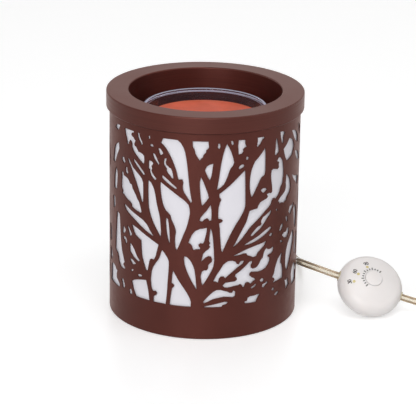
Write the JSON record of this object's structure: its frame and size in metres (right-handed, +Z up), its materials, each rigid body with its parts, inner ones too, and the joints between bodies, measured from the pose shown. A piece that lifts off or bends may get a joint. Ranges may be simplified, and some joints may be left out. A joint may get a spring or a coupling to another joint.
{
  "type": "electric wax warmer",
  "caption": "Round electric wax warmer: cut-out metal sleeve with trees over a lit diffuser, heated well with a clear loose cup of wax, flat cord with timer pod, coil and plug.",
  "frame": {"origin": "middle of the base on the table, under the body's axis", "axes": "+Z up along the body's axis, front with the tree's trunk towards -Y, cord leaves at +Y"},
  "size_m": [0.295, 0.1822, 0.14],
  "materials": {
    "housing_brown": "satin brown with a soft gloss",
    "sleeve_brown": "satin bronze brown",
    "frosted_white": "frosted, lets light through",
    "tray_brown": "fine grain",
    "foot_rubber": "matte",
    "bare_aluminium": "turned",
    "zinc_steel": "bright zinc",
    "heater_ceramic": "unglazed",
    "mica": "smooth sheet",
    "fuse_case": "smooth",
    "board_white": "white solder mask",
    "board_green": "green solder mask",
    "led_yellow": "clear resin",
    "capacitor_red": "dipped",
    "block_ivory": "moulded",
    "lead_red": "smooth sleeve",
    "lead_white": "smooth sleeve",
    "cord_gold": "clear gold, lets light through",
    "clear_cup": "clear, polished",
    "wax_orange": "smooth, slightly clear",
    "pod_white": "satin white",
    "black_plastic": "moulded",
    "relay_blue": "moulded",
    "lens_amber": "clear amber",
    "blade_brass": "polished"
  },
  "bodies": {
    "warmer": {"top_housing": "housing_brown", "heater_plate": "bare_aluminium", "ptc_heater": "heater_ceramic", "mica_sheet": "mica", "heater_clamp": "zinc_steel", "clamp_screws": "zinc_steel", "thermal_fuse": "fuse_case", "outer_sleeve": "sleeve_brown", "diffuser": "frosted_white", "base_tray": "tray_brown", "feet": "foot_rubber", "tie_screws": "zinc_steel", "led_board": "board_white", "led_chips": "led_yellow", "board_screws": "zinc_steel", "dropper_capacitor": "capacitor_red", "terminal_block": "block_ivory", "cord_grip": "tray_brown", "grip_screws": "zinc_steel", "cord_inner": "cord_gold", "cord_gland": "cord_gold", "heater_leads": "lead_red", "led_leads": "lead_white", "pod_upper_shell": "pod_white", "pod_lower_shell": "pod_white", "press_switch": "black_plastic", "pod_board": "board_green", "timer_relay": "relay_blue", "indicator_lenses": "lens_amber", "indicator_leds": "led_yellow", "pod_screws": "zinc_steel", "pod_bushes": "cord_gold", "cord_lead": "cord_gold", "cord_tail": "cord_gold", "cord_coil": "cord_gold", "cord_tie": "black_plastic", "plug_body": "cord_gold", "plug_blades": "blade_brass"},
    "cup": {"wax_cup": "clear_cup", "wax": "wax_orange"},
    "button": {"timer_button": "pod_white", "switch_plunger": "black_plastic"}
  },
  "joints": [
    {"name": "cup_lift", "type": "slide", "parent": "warmer", "child": "cup", "axis": [0, 0, 1], "range_m": [0, 0.06]},
    {"name": "button_press", "type": "slide", "parent": "warmer", "child": "button", "axis": [-0.18, 0.5888, -0.788], "range_m": [0, 0.0006], "stiffness_N_per_m": 800}
  ]
}
